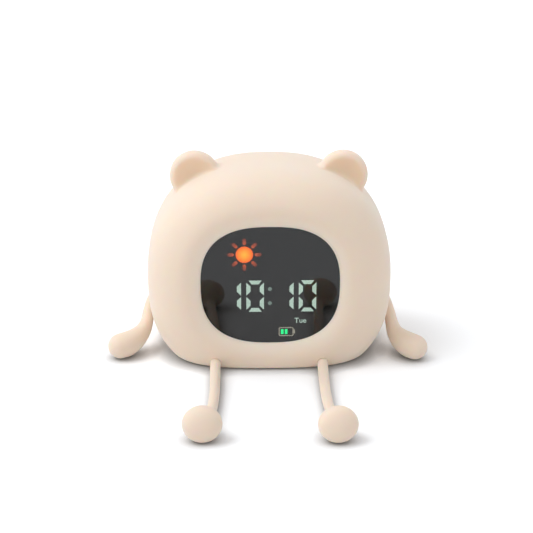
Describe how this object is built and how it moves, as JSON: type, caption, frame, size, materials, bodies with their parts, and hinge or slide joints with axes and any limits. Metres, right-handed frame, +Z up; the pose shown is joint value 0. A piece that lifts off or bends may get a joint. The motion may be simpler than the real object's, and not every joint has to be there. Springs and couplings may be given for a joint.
{
  "type": "sleep trainer clock",
  "caption": "Bedside sleep trainer clock: rounded silicone body with ears, a dark oval display window, floppy arms and legs, and a rear panel with buttons, speaker grille and charging socket.",
  "frame": {"origin": "centre of the flat base, on the surface the clock stands on", "axes": "+Z up, -Y out of the display window, +X to the right as the window is seen"},
  "size_m": [0.1836, 0.1881, 0.1162],
  "materials": {
    "silicone": "soft matt silicone",
    "housing_plastic": "moulded ABS, fine matt",
    "panel_plastic": "moulded ABS, fine spark texture",
    "button_plastic": "moulded ABS, satin",
    "smoked_window": "polished smoked acrylic",
    "gasket_foam": "closed-cell foam",
    "black_plastic": "moulded black ABS",
    "digit_light": "lit clear resin",
    "digit_dark": "unlit smoked resin",
    "sun_light": "lit clear resin",
    "charge_line": "lit clear resin",
    "charge_light": "lit clear resin",
    "circuit_board": "solder mask over glass fibre",
    "lamp_resin": "clear lamp resin",
    "screw_steel": "zinc plated",
    "socket_steel": "tin plated",
    "nickel": "nickel strip",
    "plunger_plastic": "moulded black nylon",
    "speaker_plastic": "moulded ABS",
    "speaker_paper": "pressed paper",
    "magnet_steel": "zinc plated",
    "cell_wrap": "heat-shrunk sleeve",
    "cable_film": "polyester film"
  },
  "bodies": {
    "body": {"silicone_skin": "silicone", "arm_root_left": "silicone", "arm_root_right": "silicone", "leg_root_left": "silicone", "leg_root_right": "silicone", "front_housing": "housing_plastic", "rear_housing": "housing_plastic", "rear_panel": "panel_plastic", "display_lens": "smoked_window", "lens_gasket": "gasket_foam", "display_reflector": "black_plastic", "switch_cases": "black_plastic", "battery_tray": "black_plastic", "control_chips": "black_plastic", "cable_plugs": "black_plastic", "digit_strokes_lit": "digit_light", "colon_dots": "digit_light", "digit_strokes_dark": "digit_dark", "sun_disc": "sun_light", "sun_rays": "sun_light", "charge_outline": "charge_line", "charge_bars": "charge_light", "display_board": "circuit_board", "control_board": "circuit_board", "display_leds": "lamp_resin", "housing_screws": "screw_steel", "display_screws": "screw_steel", "panel_screws": "screw_steel", "board_screws": "screw_steel", "usb_socket": "socket_steel", "battery_contacts": "nickel", "usb_tongue": "plunger_plastic", "speaker_frame": "speaker_plastic", "speaker_cone": "speaker_paper", "speaker_magnet": "magnet_steel", "battery_cell": "cell_wrap", "flat_cable": "cable_film"},
    "button_sound": {"button_sound": "button_plastic", "plunger_sound": "plunger_plastic"},
    "button_minus": {"button_minus": "button_plastic", "plunger_minus": "plunger_plastic"},
    "button_light": {"button_light": "button_plastic", "plunger_light": "plunger_plastic"},
    "button_plus": {"button_plus": "button_plastic", "plunger_plus": "plunger_plastic"},
    "button_clock": {"button_clock": "button_plastic", "plunger_clock": "plunger_plastic"},
    "arm_left": {"arm_left": "silicone"},
    "arm_right": {"arm_right": "silicone"},
    "leg_left": {"leg_left": "silicone"},
    "leg_right": {"leg_right": "silicone"}
  },
  "joints": [
    {"name": "press_sound", "type": "slide", "parent": "body", "child": "button_sound", "axis": [0, -1, 0], "range_m": [0, 0.0008], "stiffness_N_per_m": 400},
    {"name": "press_minus", "type": "slide", "parent": "body", "child": "button_minus", "axis": [0, -1, 0], "range_m": [0, 0.0008], "stiffness_N_per_m": 400},
    {"name": "press_light", "type": "slide", "parent": "body", "child": "button_light", "axis": [0, -1, 0], "range_m": [0, 0.0008], "stiffness_N_per_m": 400},
    {"name": "press_plus", "type": "slide", "parent": "body", "child": "button_plus", "axis": [0, -1, 0], "range_m": [0, 0.0008], "stiffness_N_per_m": 400},
    {"name": "press_clock", "type": "slide", "parent": "body", "child": "button_clock", "axis": [0, -1, 0], "range_m": [0, 0.0008], "stiffness_N_per_m": 400},
    {"name": "arm_left_lift", "type": "hinge", "parent": "body", "child": "arm_left", "pos_m": [-0.0707, -0.0002, 0.018], "axis": [0, 1, 0], "range_deg": [0, 60]},
    {"name": "arm_right_lift", "type": "hinge", "parent": "body", "child": "arm_right", "pos_m": [0.0708, -0.0019, 0.0178], "axis": [0, -1, 0], "range_deg": [0, 60]},
    {"name": "leg_left_lift", "type": "hinge", "parent": "body", "child": "leg_left", "pos_m": [-0.0311, -0.051, 0.0035], "axis": [-1, 0, 0], "range_deg": [0, 50]},
    {"name": "leg_right_lift", "type": "hinge", "parent": "body", "child": "leg_right", "pos_m": [0.0295, -0.051, 0.0035], "axis": [-1, 0, 0], "range_deg": [0, 50]}
  ]
}
